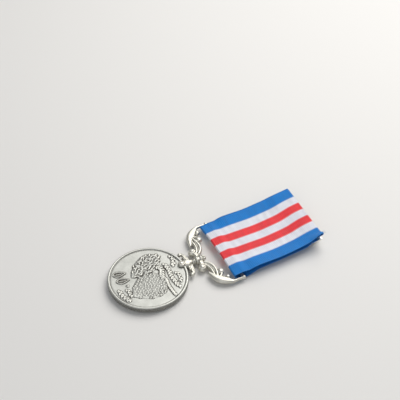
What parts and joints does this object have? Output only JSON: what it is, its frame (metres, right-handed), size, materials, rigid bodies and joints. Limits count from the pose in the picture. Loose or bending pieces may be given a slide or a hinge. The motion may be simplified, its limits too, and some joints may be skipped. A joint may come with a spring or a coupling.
{
  "type": "service medal",
  "caption": "Round service medal on a swivelling scroll suspender, hung from a striped folded ribbon with a pin-back brooch.",
  "frame": {"origin": "middle of the underside of the whole medal, on the surface it lies on", "axes": "+Y from the disc to the top of the ribbon, +X to the right of someone facing the medal, +Z out of its face"},
  "size_m": [0.0382, 0.1, 0.006],
  "materials": {
    "struck_silver": "antique silver, satin",
    "cast_silver": "antique silver, worn bright on the edges",
    "ribbon_cloth": "ribbed woven ribbon in blue, white and red stripes",
    "sewing_thread": "matt white thread",
    "brooch_metal": "nickel plated, satin",
    "needle_steel": "polished steel"
  },
  "bodies": {
    "ribbon": {"ribbon": "ribbon_cloth", "hem_thread": "sewing_thread", "tail_thread": "sewing_thread", "brooch_plate": "brooch_metal", "hinge_bracket": "brooch_metal", "hinge_rivet": "brooch_metal", "catch_housing": "brooch_metal"},
    "suspender": {"suspender_scroll": "cast_silver", "ribbon_bar": "cast_silver"},
    "medal": {"medal_disc": "struck_silver", "claw": "cast_silver", "claw_rivet": "cast_silver", "swivel_pin": "cast_silver", "swivel_collar": "cast_silver", "rosette_finial": "cast_silver"},
    "needle": {"pin_needle": "needle_steel"},
    "catch_lock": {"catch_lock": "brooch_metal"}
  },
  "joints": [
    {"name": "suspender_swing", "type": "hinge", "parent": "ribbon", "child": "suspender", "pos_m": [0, 0.0063, 0.0022], "axis": [-1, 0, 0], "range_deg": [-120, 120]},
    {"name": "medal_swivel", "type": "hinge", "parent": "suspender", "child": "medal", "pos_m": [0, -0.007, 0.0022], "axis": [0, 1, 0], "continuous": true},
    {"name": "pin_open", "type": "hinge", "parent": "ribbon", "child": "needle", "pos_m": [-0.0128, 0.0467, 0.0017], "axis": [0, 1, 0], "range_deg": [0, 100]},
    {"name": "catch_turn", "type": "hinge", "parent": "ribbon", "child": "catch_lock", "pos_m": [0.0107, 0.0467, 0.0017], "axis": [-1, 0, 0], "range_deg": [0, 100]}
  ]
}
